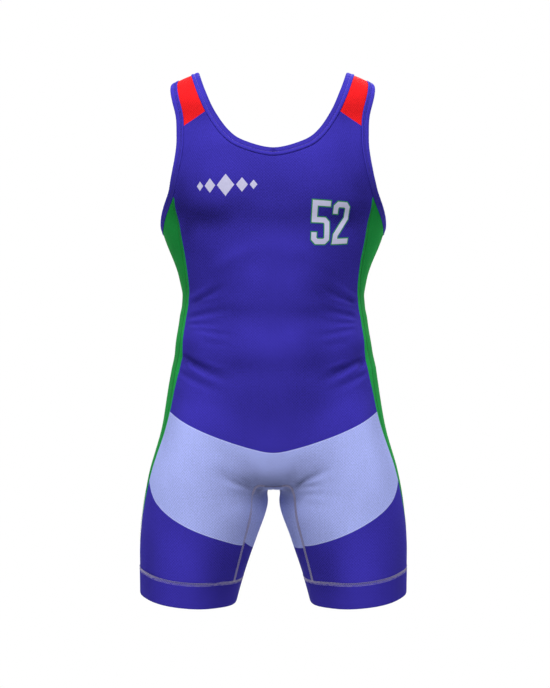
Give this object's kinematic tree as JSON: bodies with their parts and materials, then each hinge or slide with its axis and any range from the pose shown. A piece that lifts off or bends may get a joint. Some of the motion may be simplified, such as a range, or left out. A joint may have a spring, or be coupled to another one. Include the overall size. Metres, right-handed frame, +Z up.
{
  "type": "powerlifting singlet",
  "caption": "Sleeveless one-piece lifting singlet with a scooped neck, bound armholes, contrast side panels and short legs with gripper bands, in its worn form with no wearer.",
  "frame": {"origin": "midway between the shoulders, level with the top of the straps, where the singlet hangs on its wearer", "axes": "+Z up the body, the front faces -Y, the wearer's left is +X"},
  "size_m": [0.4354, 0.2305, 0.8619],
  "materials": {
    "front": "printed warp-knit polyester and elastane, slight satin",
    "back": "printed warp-knit polyester and elastane, slight satin",
    "side_panel_left": "green knit, slight satin",
    "side_panel_right": "green knit, slight satin",
    "inner_leg_left": "pale blue knit, printed royal blue towards the band",
    "inner_leg_right": "pale blue knit, printed royal blue towards the band",
    "leg_band_left": "doubled royal blue knit with a gripper edge",
    "leg_band_right": "doubled royal blue knit with a gripper edge",
    "neck_binding": "folded royal blue knit",
    "armhole_binding_left": "folded royal blue knit",
    "armhole_binding_right": "folded royal blue knit"
  },
  "bodies": {
    "root": {"front": "front", "back": "back", "side_panel_left": "side_panel_left", "side_panel_right": "side_panel_right", "inner_leg_left": "inner_leg_left", "inner_leg_right": "inner_leg_right", "leg_band_left": "leg_band_left", "leg_band_right": "leg_band_right", "neck_binding": "neck_binding", "armhole_binding_left": "armhole_binding_left", "armhole_binding_right": "armhole_binding_right"}
  },
  "joints": []
}
